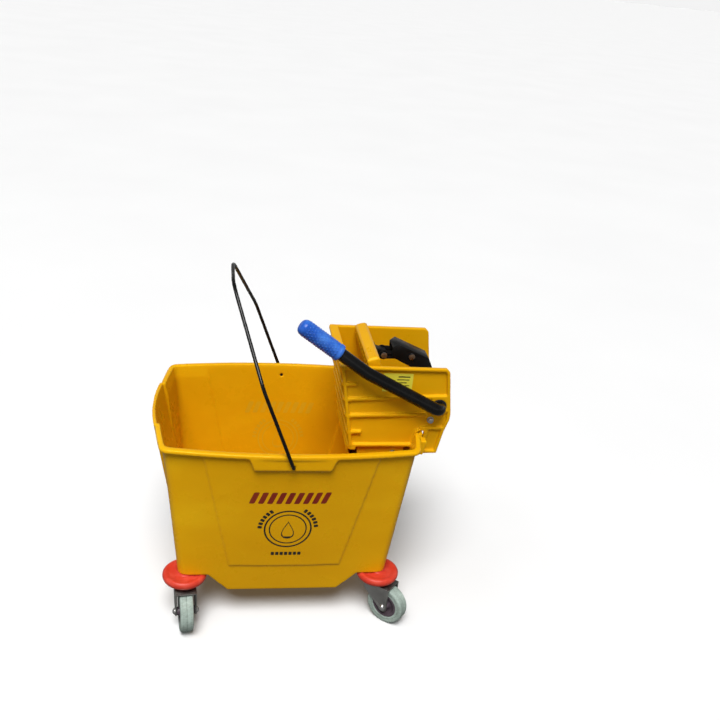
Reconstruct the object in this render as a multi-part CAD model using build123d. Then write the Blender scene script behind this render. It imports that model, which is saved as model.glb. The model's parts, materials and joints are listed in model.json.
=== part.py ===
from build123d import *
import os
from math import atan2, cos, degrees, radians, sin, tan

# Mop bucket on four swivel casters with a side-press wringer hooked over its right-hand end.
# Millimetres. X runs along the bucket towards the wringer end, Y from front to back, Z up.
# Every function works with the bucket centred on X = 0; export moves the whole object in X
# so that the origin is the middle of its bounding box, on the floor.

# ---- driving dimensions: bucket ----
RIM_Z = 429.0
LIP_DEPTH = 9.0
TANK_BOTTOM_Z = 77.0
PLATFORM_Z = 118.0
WALL = 5.0
# half spans of each section: corner x, corner y, bowed x, bowed y, corner radius
LIP_SECTION = (250.0, 184.0, 270.0, 206.0, 22.0)
TANK_TOP = (244.0, 175.0, 263.0, 197.0, 20.0)
TANK_BOTTOM = (212.0, 161.0, 213.5, 162.5, 18.0)
INNER_TOP = (239.0, 169.0, 258.0, 191.0, 14.0)
INNER_BOTTOM = (206.0, 155.0, 207.5, 156.5, 13.0)
BELLY_HALF_X = 114.0
PLATFORM_INNER_X = 155.0
MOUTH_BAND = 26.0
MOUTH_FLARE = 2.6
PANEL_PROUD = 2.2
PANEL_HOLLOW = 1.8
PANEL_TOP_Z = RIM_Z - LIP_DEPTH
PANEL_BOTTOM_Z = 146.0
PANEL_TOP_HALF_X = 170.0
PANEL_BOTTOM_HALF_X = 113.0

# ---- driving dimensions: wringer seats, the thin stepped parts of the two end walls ----
SEAT_MIDDLE_X = 276.0
SEAT_CORNER_X = 268.0
SEAT_HALF_Y = 113.0
PLAIN_SEAT_HALF_Y = 90.0
SEAT_THICK = 6.5
SEAT_LEAN = 10.5
SEAT_FOOT_Z = 169.0
LUG_WIDE = 18.0
LUG_TALL = 32.0

# ---- driving dimensions: bail ----
BOSS_Y = 204.0
BOSS_BOTTOM_Z = RIM_Z - 39.0
BAIL_HOLE_Z = RIM_Z - 25.0
WIRE_R = 3.5
BAIL_LEAN = 21.5
RUN_CLEAR = 0.08

# ---- driving dimensions: casters ----
CASTER_X = 202.0
CASTER_Y = 148.0
WHEEL_R = 43.0
TREAD_WIDE = 27.0
RIM_R = 28.0
TRAIL = 34.0
STEM_R = 5.5
KINGPIN_R = 6.0
AXLE_R = 4.0
BUMPER_R = 45.0
BUMPER_BOTTOM_Z = 100.0
CROWN_Z = 88.5
CUP_ROOF = 2.5
SHEET = 3.0
FORK_HALF = 18.5
FORK_FOOT_R = 10.0
CASTER_YAW = {"fl": -83.0, "fr": -42.0, "rl": 83.0, "rr": 55.0}
CASTER_SIDE = {"fl": (-1, -1), "fr": (1, -1), "rl": (-1, 1), "rr": (1, 1)}

# ---- driving dimensions: wringer, in its own x and z from the top of its ribbed wall ----
WRINGER_X = 87.0
WRINGER_Z = RIM_Z + 143.0
PLATE_IN = 96.0
PLATE_OUT = 100.0
FLANGE_OUT = 106.0
FLANGE_THICK = 6.5
SLOT_WIDE = 13.0
SLOT_TOP_GAP = 3.0
WALL_LEAN = 0.172
RIB_DEPTH = 14.0
RIB_THICK = 7.0
SLAB_THICK = 4.5
RIB_LEVELS = (0.0, -35.0, -69.0, -106.0, -143.0, -180.0)
GUSSETS_Y = (-84.0, -56.0, -28.0, 0.0, 28.0, 56.0, 84.0)
AXLE_X, AXLE_Z = 208.0, -84.0
TUBE_R = 12.7
TUBE_WALL = 2.0
GRIP_R = 16.5
BUSH_R = 15.5
PIVOT_X, PIVOT_Z = 127.0, -200.0
PRESS_LEAN = 16.2
PRESS_HALF_Y = 90.0
PRESS_HALF_THICK = 13.0
PRESS_LENGTH = 222.0
HANDLE_Y = -128.0
CRANK_PIN_X, CRANK_PIN_Z = 160.0, -14.0
LINK_PIN_X, LINK_PIN_Z = 102.0, -14.0
PIN_R = 4.0
OPEN_PIVOT_R = 7.0
CRANK_SLEEVE_R = 16.5
BOLT_R = 3.0
CLAMP_X, CLAMP_Z = 195.0, -116.0
CLAMP_BOLT_R = 3.0


def bowed(section, z, grow=0.0):
    """Outline of four shallow arcs meeting in rounded corners, at height z."""
    corner_x, corner_y, bow_x, bow_y, radius = section
    corner_x, corner_y = corner_x + grow, corner_y + grow
    bow_x, bow_y = bow_x + grow, bow_y + grow
    with BuildSketch(Plane.XY.offset(z)) as outline:
        with BuildLine():
            ThreePointArc((-corner_x, -corner_y), (0, -bow_y), (corner_x, -corner_y))
            ThreePointArc((corner_x, -corner_y), (bow_x, 0), (corner_x, corner_y))
            ThreePointArc((corner_x, corner_y), (0, bow_y), (-corner_x, corner_y))
            ThreePointArc((-corner_x, corner_y), (-bow_x, 0), (-corner_x, -corner_y))
        make_face()
        fillet(outline.vertices(), radius)
    return outline.sketch


def prism_xz(points, y_low, y_high):
    """Straight-sided block with its outline in X and Z, between two values of Y."""
    face = make_face(Polyline(*[(x, y_low, z) for x, z in points], close=True))
    return extrude(face, y_high - y_low, dir=(0, 1, 0))


def disc_y(x, z, radius, y_low, y_high):
    """Cylinder along Y."""
    plane = Plane(origin=(x, y_low, z), x_dir=(1, 0, 0), z_dir=(0, 1, 0))
    return extrude(plane * Circle(radius), y_high - y_low)


def disc_z(x, y, radius, z_low, z_high):
    """Cylinder along Z."""
    return extrude(Plane.XY.offset(z_low) * Pos(x, y) * Circle(radius), z_high - z_low)


def hex_y(x, z, across_flats, y_low, y_high):
    """Hexagonal block along Y, such as a nut or a bolt head."""
    plane = Plane(origin=(x, y_low, z), x_dir=(1, 0, 0), z_dir=(0, 1, 0))
    return extrude(plane * RegularPolygon(across_flats / 2, 6, major_radius=False), y_high - y_low)


def spun(points, x=0.0, y=0.0):
    """Solid of revolution about a vertical axis; points are radius and height."""
    face = make_face(Polyline(*[(radius, 0, z) for radius, z in points], close=True))
    return Pos(x, y, 0) * revolve(face, Axis.Z)


def both_sides(shape):
    """A shape and its mirror image in Y."""
    return shape + mirror(shape, Plane.XZ)


# ---------------------------------------------------------------- bucket
def end_wedges(floor_z, slope_inner_x, slope_outer_x, platform_z):
    """Blocks that turn the ends of the tank's floor into raised caster platforms."""
    outline = [(slope_outer_x, platform_z), (slope_inner_x, floor_z), (slope_inner_x, 0), (400, 0)]
    outline += [(400, platform_z)]
    right = prism_xz(outline, -400, 400)
    return right + mirror(right, Plane.YZ)


def seat_block(side, half_y, thin, bottom_z):
    """Stepped-out panel in an end wall, full size or hollow by the wall's thickness."""
    faces = []
    for z in (bottom_z, RIM_Z):
        shift = (z - RIM_Z) * tan(radians(SEAT_LEAN)) - thin
        inner_x = 150.0
        middle = SEAT_MIDDLE_X + shift
        corner = SEAT_CORNER_X + shift
        y = half_y - thin * 0.8
        edge = ThreePointArc((corner, -y, z), (middle, 0, z), (corner, y, z))
        edge += Polyline((corner, y, z), (inner_x, y, z), (inner_x, -y, z), (corner, -y, z))
        faces.append(make_face(edge))
    block = loft(faces, ruled=True)
    return block if side > 0 else mirror(block, Plane.YZ)


def tank_shell():
    """Outer form: tapered tank, raised panels, rolled lip and bail bosses."""
    outer = loft([bowed(TANK_BOTTOM, TANK_BOTTOM_Z), bowed(TANK_TOP, RIM_Z)], ruled=True)
    proud_bottom = bowed(TANK_BOTTOM, TANK_BOTTOM_Z, PANEL_PROUD)
    proud = loft([proud_bottom, bowed(TANK_TOP, RIM_Z, PANEL_PROUD)], ruled=True)
    panels = proud & panel_prism()
    lip = extrude(bowed(LIP_SECTION, RIM_Z - LIP_DEPTH), LIP_DEPTH)
    lip = fillet(lip.edges().group_by(Axis.Z)[-1], 4.0)
    lip -= Pos(275, 0, RIM_Z) * Box(100, 2 * SEAT_HALF_Y, 100)
    lip -= Pos(-275, 0, RIM_Z) * Box(100, 2 * PLAIN_SEAT_HALF_Y, 100)
    return outer + panels + lip + both_sides(bail_boss())


def panel_prism():
    """Outline of the front and back panels, carried right through the tank."""
    outline = [(-PANEL_TOP_HALF_X, PANEL_TOP_Z), (PANEL_TOP_HALF_X, PANEL_TOP_Z)]
    outline += [(PANEL_BOTTOM_HALF_X, PANEL_BOTTOM_Z), (-PANEL_BOTTOM_HALF_X, PANEL_BOTTOM_Z)]
    return prism_xz(outline, -300, 300)


def bail_boss():
    """Block under the lip that holds the bail, with sloping ends and a sloping underside."""
    top_z = RIM_Z - LIP_DEPTH
    outline = [(-84, top_z), (84, top_z), (72, BOSS_BOTTOM_Z), (-72, BOSS_BOTTOM_Z)]
    outer_y, foot_z = -BOSS_Y - 1, BOSS_BOTTOM_Z - 1
    slope = [(outer_y, BOSS_BOTTOM_Z + 7), (-BOSS_Y + 9, foot_z), (outer_y, foot_z)]
    below = make_face(Polyline(*[(-120, y, z) for y, z in slope], close=True))
    return prism_xz(outline, -BOSS_Y, -180) - extrude(below, 240, dir=(1, 0, 0))


def seat_lugs():
    """Upright guides outside the right-hand end that keep the wringer's legs from sliding."""
    top_x = SEAT_CORNER_X + 6
    drop = LUG_TALL * tan(radians(SEAT_LEAN))
    high, low = RIM_Z - 6, RIM_Z - 6 - LUG_TALL
    outline = [(235, high), (top_x, high), (top_x - drop, low), (230, low)]
    lug = prism_xz(outline, SEAT_HALF_Y + 2, SEAT_HALF_Y + 2 + LUG_WIDE)
    return both_sides(lug)


def mouth_flare():
    """Wider mouth: a steeper loft that leaves the cavity's own walls MOUTH_BAND below the rim."""
    foot_z = RIM_Z - 2 * MOUTH_BAND
    share = (foot_z - TANK_BOTTOM_Z) / (RIM_Z - TANK_BOTTOM_Z)
    section = [low + (high - low) * share for low, high in zip(INNER_BOTTOM, INNER_TOP)]
    return loft([bowed(section, foot_z, -MOUTH_FLARE), bowed(INNER_TOP, RIM_Z, MOUTH_FLARE)], ruled=True)


def cavity():
    """The water space, down to the belly's floor and the caster platforms."""
    floor_z = TANK_BOTTOM_Z + WALL
    space = loft([bowed(INNER_BOTTOM, floor_z), bowed(INNER_TOP, RIM_Z)], ruled=True)
    hollow_bottom = bowed(INNER_BOTTOM, floor_z, PANEL_HOLLOW)
    hollow = loft([hollow_bottom, bowed(INNER_TOP, RIM_Z, PANEL_HOLLOW)], ruled=True)
    space += hollow & panel_prism()
    space += mouth_flare()
    space -= end_wedges(floor_z, BELLY_HALF_X - 2, PLATFORM_INNER_X - 2, PLATFORM_Z + WALL)
    return space


def bucket_tank():
    body = tank_shell()
    body += seat_block(1, SEAT_HALF_Y, 0.0, SEAT_FOOT_Z)
    body += seat_block(-1, PLAIN_SEAT_HALF_Y, 0.0, SEAT_FOOT_Z)
    body += seat_lugs()
    body -= end_wedges(TANK_BOTTOM_Z, BELLY_HALF_X, PLATFORM_INNER_X, PLATFORM_Z)
    body -= cavity()
    body -= seat_block(1, SEAT_HALF_Y, SEAT_THICK, SEAT_FOOT_Z + 20)
    body -= seat_block(-1, PLAIN_SEAT_HALF_Y, SEAT_THICK, SEAT_FOOT_Z + 20)
    for side_x, side_y in CASTER_SIDE.values():
        x, y = side_x * CASTER_X, side_y * CASTER_Y
        body += disc_z(x, y, 12.0, PLATFORM_Z + 1, PLATFORM_Z + 33)
        body -= disc_z(x, y, STEM_R + RUN_CLEAR, PLATFORM_Z - 1, PLATFORM_Z + 29)
    body -= disc_y(0, BAIL_HOLE_Z, WIRE_R + RUN_CLEAR, -BOSS_Y - 5, BOSS_Y + 5)
    return body


# ---------------------------------------------------------------- bail
def bail():
    """Round wire bail: hooked ends in the bosses, legs that splay, then lean in to a rounded top."""
    lean = radians(BAIL_LEAN)

    def at(y, along):
        return (-along * sin(lean), y, BAIL_HOLE_Z + along * cos(lean))

    right = [at(62, 337), at(210, 179), at(BOSS_Y + 8, 0), at(BOSS_Y - 12, 0)]
    left = [(x, -y, z) for x, y, z in reversed(right)]
    route = left + right
    path = FilletPolyline(*route, radius=[7, 40, 60, 60, 40, 7])
    start = Plane(origin=route[0], x_dir=(1, 0, 0), z_dir=(0, -1, 0))
    return sweep(start * Circle(WIRE_R), path)


# ---------------------------------------------------------------- casters
def bumper(x, y):
    """Round dished bumper disc between the platform and the swivel."""
    bottom, top = BUMPER_BOTTOM_Z, PLATFORM_Z
    hole = STEM_R + RUN_CLEAR
    rim = [(hole, bottom), (37, bottom), (42, bottom + 2.5), (BUMPER_R, bottom + 8)]
    rim += [(BUMPER_R, bottom + 11), (42.5, top - 2), (38.5, top - 0.4), (35, top - 0.8)]
    rim += [(30, top - 3), (16, top - 3), (14, top), (hole, top)]
    return spun(rim, x, y)


def swivel_cup(x, y):
    """Pressed steel upper race, fixed under the bumper."""
    top = BUMPER_BOTTOM_Z
    profile = [(KINGPIN_R, top), (KINGPIN_R, top - CUP_ROOF), (21, top - CUP_ROOF)]
    profile += [(21, top - 8), (23, top - 8), (23, top)]
    return spun(profile, x, y)


def caster_stem(x, y):
    """Stem pressed into the platform, with the kingpin and its riveted head below."""
    head_top = CROWN_Z - 0.3
    profile = [(0, head_top - 5), (8, head_top - 5), (10, head_top - 3), (10, head_top)]
    profile += [(KINGPIN_R, head_top), (KINGPIN_R, BUMPER_BOTTOM_Z), (STEM_R, BUMPER_BOTTOM_Z)]
    profile += [(STEM_R, PLATFORM_Z + 28), (0, PLATFORM_Z + 28)]
    return spun(profile, x, y)


def fork_cheek():
    """Side plate of the fork: upright trailing edge, sloping leading edge, rounded foot."""
    top = CROWN_Z + SHEET
    outline = [(-16, top), (TRAIL + FORK_FOOT_R, top), (TRAIL + FORK_FOOT_R, WHEEL_R)]
    outline += [(TRAIL - FORK_FOOT_R, WHEEL_R - 2), (-16, top - 18)]
    cheek = prism_xz(outline, FORK_HALF, FORK_HALF + SHEET)
    cheek += disc_y(TRAIL, WHEEL_R, FORK_FOOT_R, FORK_HALF, FORK_HALF + SHEET)
    return cheek


def fork():
    """Swivel fork at the origin, trailing along +X."""
    outer = FORK_HALF + SHEET
    top = CROWN_Z + SHEET
    end_x = TRAIL + FORK_FOOT_R
    crown = prism_xz([(-16, CROWN_Z), (end_x, CROWN_Z), (end_x, top), (-16, top)], -outer, outer)
    race_top = BUMPER_BOTTOM_Z - CUP_ROOF - 0.3
    bore = KINGPIN_R + RUN_CLEAR
    race = [(bore, CROWN_Z), (19, CROWN_Z), (19, race_top - 2.2), (16, race_top), (bore, race_top)]
    body = crown + both_sides(fork_cheek()) + spun(race)
    body -= disc_z(0, 0, bore, CROWN_Z - 5, CROWN_Z + 20)
    body -= disc_y(TRAIL, WHEEL_R, AXLE_R, -40, 40)
    return body


def wheel_profile(points):
    """Solid of revolution about the wheel's own axis; points are radius and distance along it."""
    face = make_face(Polyline(*[(radius, along, 0) for radius, along in points], close=True))
    return Pos(TRAIL, 0, WHEEL_R) * revolve(face, Axis.Y)


def tyre():
    """Grey rubber tread with rounded shoulders and a fine groove down its middle."""
    half = TREAD_WIDE / 2
    right = [(RIM_R, half - 1), (RIM_R + 3, half), (WHEEL_R - 4, half)]
    right += [(WHEEL_R - 1, half - 1.5), (WHEEL_R, half - 4), (WHEEL_R, 0.8), (WHEEL_R - 0.8, 0)]
    left = [(radius, -along) for radius, along in reversed(right[:-1])]
    return wheel_profile(right + left)


def hub():
    """Dished hub with a rim, a recessed web and a long bored boss."""
    half = TREAD_WIDE / 2 - 1
    bore = AXLE_R + RUN_CLEAR
    right = [(bore, FORK_HALF - 0.4), (8, FORK_HALF - 0.4), (10, 10), (12, 4.5)]
    right += [(RIM_R - 8, 4.5), (RIM_R - 5, half), (RIM_R, half)]
    left = [(radius, -along) for radius, along in reversed(right)]
    return wheel_profile(right + left)


def caster_axle():
    """Wheel axle with domed riveted heads outside the fork."""
    outer = FORK_HALF + SHEET
    right = [(AXLE_R, outer), (7.5, outer), (7.5, outer + 1.5), (5.5, outer + 4)]
    right += [(2.5, outer + 5.2), (0, outer + 5.4)]
    left = [(radius, -along) for radius, along in reversed(right)]
    return wheel_profile(right + left)


def casters():
    nodes = {}
    for name, (side_x, side_y) in CASTER_SIDE.items():
        x, y = side_x * CASTER_X, side_y * CASTER_Y
        place = Pos(x, y, 0) * Rot(0, 0, CASTER_YAW[name])
        nodes["bumper_" + name] = bumper(x, y)
        nodes["swivel_cup_" + name] = swivel_cup(x, y)
        nodes["caster_stem_" + name] = caster_stem(x, y)
        nodes["fork_" + name] = place * fork()
        nodes["tyre_" + name] = place * tyre()
        nodes["hub_" + name] = place * hub()
        nodes["axle_" + name] = place * caster_axle()
    return nodes


# ---------------------------------------------------------------- wringer
def seat_outer_x(y):
    """Outside of the seat's rim at a distance y from the middle, in the bucket's frame."""
    return SEAT_MIDDLE_X - (SEAT_MIDDLE_X - SEAT_CORNER_X) * (y / SEAT_HALF_Y) ** 2


def slot_middle_x(z):
    """Middle of the leaning slot at height z, over the middle of the seat's rim."""
    seat_x = seat_outer_x((PLATE_IN + FLANGE_OUT) / 2) - SEAT_THICK / 2 - WRINGER_X
    return seat_x + (z - RIM_Z + WRINGER_Z) * tan(radians(SEAT_LEAN))


def slot_cutter():
    """Leaning slot, rounded at the top, that drops over the seat's rim."""
    arc_z = RIM_Z - WRINGER_Z - SLOT_WIDE / 2 + SLOT_TOP_GAP
    low_z = arc_z - 80
    top_x, low_x = slot_middle_x(arc_z), slot_middle_x(low_z)
    half = SLOT_WIDE / 2 / cos(radians(SEAT_LEAN))
    outline = [(top_x - half, arc_z), (top_x + half, arc_z), (low_x + half, low_z), (low_x - half, low_z)]
    return prism_xz(outline, -200, 200) + disc_y(top_x, arc_z, half, -200, 200)


def side_outline():
    """Outline of a side wall in x and z, hook leg included."""
    points = [(2, 0), (214, 0), (221, -7), (228, -54), (235, -100), (234, -116), (226, -142)]
    points += [(217, -193), (176, -194), (176, -178), (33, -180)]
    return points


def wall_x(z):
    """Outer edge of the ribs on the slanting wall at height z."""
    return -WALL_LEAN * z


def flange_band(points, thick, y_low, y_high):
    """Raised edge all round an outline."""
    outline = make_face(Polyline(*[(x, y_low, z) for x, z in points], close=True))
    inner = offset(outline, -thick, kind=Kind.INTERSECTION)
    return extrude(outline - inner, y_high - y_low, dir=(0, 1, 0))


def bar_xz(x0, z0, x1, z1, thick, y_low, y_high):
    """Straight rib between two points, with its top edge on them."""
    return prism_xz([(x0, z0), (x1, z1), (x1, z1 - thick), (x0, z0 - thick)], y_low, y_high)


def slot_frame():
    """Raised edge round the slot."""
    half = SLOT_WIDE / 2 + FLANGE_THICK + 1
    top_z, low_z = RIM_Z - WRINGER_Z + 5, RIB_LEVELS[-1]
    top_x, low_x = slot_middle_x(top_z), slot_middle_x(low_z)
    outline = [(top_x - half + 3, top_z), (top_x + half - 3, top_z), (top_x + half, top_z - 4)]
    outline += [(low_x + half, low_z), (low_x - half, low_z), (top_x - half, top_z - 4)]
    return prism_xz(outline, PLATE_OUT, FLANGE_OUT)


def side_wall():
    """One side wall: plate, raised edges, ledges, axle boss and slot frame, on the +Y side."""
    outline = side_outline()
    wall = prism_xz(outline, PLATE_IN, PLATE_OUT)
    wall += flange_band(outline, FLANGE_THICK, PLATE_OUT - 0.5, FLANGE_OUT)
    ledges = [(wall_x(-69) + 2, -69, 226, -59), (wall_x(-106) + 2, -106, 184, -100)]
    ledges += [(176, -131, 226, -131)]
    ledges += [(wall_x(level) + 2, level, wall_x(level) + 30, level) for level in (-35, -143)]
    for ends in ledges:
        wall += bar_xz(*ends, FLANGE_THICK, PLATE_OUT - 0.5, FLANGE_OUT)
    wall += slot_frame()
    wall += disc_y(AXLE_X, AXLE_Z, BUSH_R + 6, PLATE_IN - 6, FLANGE_OUT)
    wall += disc_y(AXLE_X, AXLE_Z, BUSH_R + 9, PLATE_IN - 2, PLATE_OUT + 3)
    wall += disc_y(CLAMP_X, CLAMP_Z, 9, PLATE_IN, PLATE_OUT + 1)
    wall -= disc_y(AXLE_X, AXLE_Z, BUSH_R, PLATE_IN - 20, FLANGE_OUT + 5)
    wall -= disc_y(CLAMP_X, CLAMP_Z, CLAMP_BOLT_R, PLATE_IN - 20, FLANGE_OUT + 5)
    return wall


def gusset(y):
    """Upright saw-toothed rib on the slanting wall, deepest just under each shelf."""
    points = [(RIB_DEPTH + 1, 0)]
    for upper, lower in zip(RIB_LEVELS[:-1], RIB_LEVELS[1:]):
        points += [(wall_x(upper) + 1.0, upper - 1), (wall_x(lower) + RIB_DEPTH - 5, lower)]
    points += [(wall_x(RIB_LEVELS[-1]) + RIB_DEPTH + 1, RIB_LEVELS[-1])]
    return prism_xz(points, y - 2, y + 2)


def ribbed_wall():
    """Slanting fixed wall with shelves and upright gussets on its outside."""
    foot = RIB_LEVELS[-1]
    top_x, foot_x = RIB_DEPTH, wall_x(foot) + RIB_DEPTH
    slab = [(top_x, 0), (top_x + SLAB_THICK, 0), (foot_x + SLAB_THICK, foot), (foot_x, foot)]
    wall = prism_xz(slab, -PLATE_IN - 1, PLATE_IN + 1)
    for level in RIB_LEVELS:
        x, inner_x = wall_x(level), wall_x(level) + RIB_DEPTH + 2
        edge = [(x, level), (inner_x, level), (inner_x, level - RIB_THICK), (x, level - RIB_THICK)]
        shelf = prism_xz(edge, -FLANGE_OUT, FLANGE_OUT)
        corner_edges = shelf.edges().filter_by(Axis.Z).group_by(Axis.X)[0]
        wall += fillet(corner_edges, 8)
    for y in GUSSETS_Y:
        wall += gusset(y)
    return wall


def wringer_frame():
    """The wringer's main moulding."""
    body = ribbed_wall() + both_sides(side_wall())
    body += prism_xz([(159, -178), (164, -178), (170, -140), (165, -140)], -PLATE_IN, PLATE_IN)
    body -= slot_cutter()
    return body


def chute_outline():
    """Side wall of the drain chute in x and z."""
    points = [(52, -162), (150, -162), (149, -213), (154, -226), (146, -276), (141, -292), (112, -321)]
    points += [(112, -328), (92, -328), (88, -320), (77, -324), (52, -200)]
    return points


def drain_chute():
    """Tapered chute under the wringer, with a slotted drain floor and a rolled front edge."""
    side = PLATE_IN
    wall = 4.0
    outline = chute_outline()
    body = both_sides(prism_xz(outline, side - wall, side))
    right_sheet = [(150, -180), (149, -213), (154, -226), (146, -276), (141, -292), (112, -321)]
    for (x0, z0), (x1, z1) in zip(right_sheet[:-1], right_sheet[1:]):
        strip = [(x0, z0), (x1, z1), (x1 - 3.5, z1), (x0 - 3.5, z0)]
        body += prism_xz(strip, -side, side)
        flange = [(x0, z0), (x1, z1), (x1 - 5, z1), (x0 - 5, z0)]
        if z0 < -200:
            body += both_sides(prism_xz(flange, side - 1, side + 7))
    body += prism_xz([(52, -182), (56, -182), (81, -323), (77, -324)], -side, side)
    nose = disc_y(58, -193, 9, -70, 70)
    body += nose - disc_y(58, -193, 5.5, -80, 80)
    floor = prism_xz([(54, -182), (99, -182), (99, -178), (54, -178)], -side, side)
    for row in range(-4, 5):
        floor -= Box(30, 9, 20).moved(Location((79, row * 19, -180)))
    body += floor
    body -= disc_y(PIVOT_X, PIVOT_Z, PIN_R + 0.02, -150, 150)
    return body


def press_plate():
    """Hollow pressing plate, ribbed on its working face, hinged at its foot."""
    half = PRESS_HALF_THICK
    block = Pos(0, 0, PRESS_LENGTH / 2) * Box(2 * half, 2 * PRESS_HALF_Y, PRESS_LENGTH)
    block = chamfer(block.edges().group_by(Axis.Z)[-1], 5)
    block += disc_y(0, 0, half, -PRESS_HALF_Y, PRESS_HALF_Y)
    top, bottom = PRESS_LENGTH - 24, -half - 1
    block -= Pos(0, 0, (top + bottom) / 2) * Box(2 * half - 7, 2 * PRESS_HALF_Y - 8, top - bottom)
    rib_low, rib_high = 34, PRESS_LENGTH - 14
    for row in range(-4, 5):
        rib = Box(5, 5, rib_high - rib_low)
        block += Pos(-half - 0.5, row * 19, (rib_low + rib_high) / 2) * rib
    block -= disc_y(0, 0, PIN_R + RUN_CLEAR, -PRESS_HALF_Y - 5, PRESS_HALF_Y + 5)
    return Pos(PIVOT_X, 0, PIVOT_Z) * Rot(0, -PRESS_LEAN, 0) * block


def press_bracket():
    """Steel bracket on the back of the press plate, with the ear for the link pin."""
    plate_frame = Pos(PIVOT_X, 0, PIVOT_Z) * Rot(0, -PRESS_LEAN, 0)
    lean = radians(PRESS_LEAN)
    up = (LINK_PIN_Z - PIVOT_Z) * cos(lean) - (LINK_PIN_X - PIVOT_X) * sin(lean)
    base = plate_frame * Pos(PRESS_HALF_THICK + 1.5, 0, up - 6) * Box(3, 44, 46)
    low, high = LINK_PIN_Z - 8, LINK_PIN_Z + 8
    ear = prism_xz([(84, -26), (LINK_PIN_X, low), (LINK_PIN_X, high), (78, 0)], -10, 10)
    ear += disc_y(LINK_PIN_X, LINK_PIN_Z, 8, -10, 10)
    ear &= plate_frame * Pos(PRESS_HALF_THICK + 100, 0, 100) * Box(200, 60, 400)
    return base + ear - disc_y(LINK_PIN_X, LINK_PIN_Z, PIN_R, -20, 20)


def capped_pin(x, z, half, head):
    """Plain pin along Y with a flat head at each end."""
    pin = disc_y(x, z, PIN_R, -half, half)
    return pin + both_sides(disc_y(x, z, head, half, half + 2.5))


def crank_outline():
    """Side of the crank in x and z, from the axle up to its hooded end."""
    upper = [(224, -92), (224, -74), (197, -17), (128, 13), (118, 5)]
    lower = [(119, -16), (146, -30), (176, -44), (190, -84), (198, -101), (216, -101)]
    return upper + lower


def crank():
    """Inverted channel welded to the axle, open underneath for the link arms."""
    outline = crank_outline()
    body = both_sides(prism_xz(outline, 17, 20))
    body += prism_xz([(197, -17), (128, 13), (127, 10), (196, -20)], -20, 20)
    body += prism_xz([(224, -74), (197, -17), (194, -19), (221, -75)], -20, 20)
    body += prism_xz([(128, 13), (118, 5), (120, 2.7), (129, 10)], -20, 20)
    body += disc_y(AXLE_X, AXLE_Z, CRANK_SLEEVE_R, -17, 17)
    body -= disc_y(AXLE_X, AXLE_Z, TUBE_R, -40, 40)
    body -= disc_y(CRANK_PIN_X, CRANK_PIN_Z, PIN_R, -40, 40)
    return body - crank_bolt_axis() * Cylinder(BOLT_R, 60)


def crank_bolt_axis():
    """Where the cross bolt lies: through the axle, pointing up along the inside of the crank."""
    return Pos(AXLE_X, 0, AXLE_Z) * Rot(0, -55.0, 0)


def crank_bolt():
    """Cross bolt that keys the crank's sleeve to the axle."""
    end = CRANK_SLEEVE_R + 0.2
    shank = Cylinder(BOLT_R, 2 * end)
    heads = extrude(Plane.XY.offset(end) * RegularPolygon(5, 6, major_radius=False), 4)
    heads += extrude(Plane.XY.offset(-end - 4) * RegularPolygon(5, 6, major_radius=False), 4)
    return crank_bolt_axis() * (shank + heads)


def link_arms():
    """Two flat arms between the crank pin and the press plate's ear."""
    crank_end = [(CRANK_PIN_X, CRANK_PIN_Z - 8), (CRANK_PIN_X, CRANK_PIN_Z + 8)]
    press_end = [(LINK_PIN_X, LINK_PIN_Z + 9), (LINK_PIN_X, LINK_PIN_Z - 9)]
    arm = prism_xz(crank_end + press_end, 11, 14)
    arm += disc_y(LINK_PIN_X, LINK_PIN_Z, 10.5, 11, 14)
    arm += disc_y(CRANK_PIN_X, CRANK_PIN_Z, 8, 11, 14)
    tie = Pos((LINK_PIN_X + CRANK_PIN_X) / 2 + 8, 0, CRANK_PIN_Z + 6) * Box(14, 28, 3)
    body = both_sides(arm) + tie
    body -= disc_y(CRANK_PIN_X, CRANK_PIN_Z, PIN_R + RUN_CLEAR, -40, 40)
    body -= disc_y(LINK_PIN_X, LINK_PIN_Z, OPEN_PIVOT_R, -40, 40)
    return body


def handle_route():
    """Centreline of the handle tube: far end of the axle, near bend, rise, upper bend, grip end."""
    return [(AXLE_X, 116, AXLE_Z), (AXLE_X, HANDLE_Y, AXLE_Z), (48, HANDLE_Y, -1), (-78, HANDLE_Y, 89)]


def handle_tube():
    """Bent steel tube that is both the axle and the handle."""
    route = handle_route()
    path = FilletPolyline(*route, radius=[20, 120])
    start = Plane(origin=route[0], x_dir=(1, 0, 0), z_dir=(0, -1, 0))
    body = sweep(start * Circle(TUBE_R), path) - sweep(start * Circle(TUBE_R - TUBE_WALL), path)
    return body - crank_bolt_axis() * Cylinder(BOLT_R, 60)


def hand_grip():
    """Ribbed rubber grip pushed over the end of the tube."""
    end = handle_route()[-1]
    before = handle_route()[-2]
    rise = degrees(atan2(end[2] - before[2], before[0] - end[0]))
    collar_r = GRIP_R + 1
    profile = [(TUBE_R, -86), (GRIP_R, -86), (collar_r, -84), (collar_r, -80), (GRIP_R, -78)]
    profile += [(GRIP_R, 1), (15.5, 5.5), (12, 9), (6, 10.5), (0, 10.5)]
    profile += [(0, 0.5), (TUBE_R, 0.5)]
    return Pos(*end) * Rot(0, -90 + rise, 0) * spun(profile)


def bush():
    """Plastic bush in a side wall's boss, with a collar on its inner side, on the +Y side."""
    inner_y = PLATE_IN - 6
    body = disc_y(AXLE_X, AXLE_Z, BUSH_R, inner_y, FLANGE_OUT)
    body += disc_y(AXLE_X, AXLE_Z, BUSH_R + 4, inner_y - 3, inner_y)
    return body - disc_y(AXLE_X, AXLE_Z, TUBE_R + RUN_CLEAR, inner_y - 10, FLANGE_OUT + 10)


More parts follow.
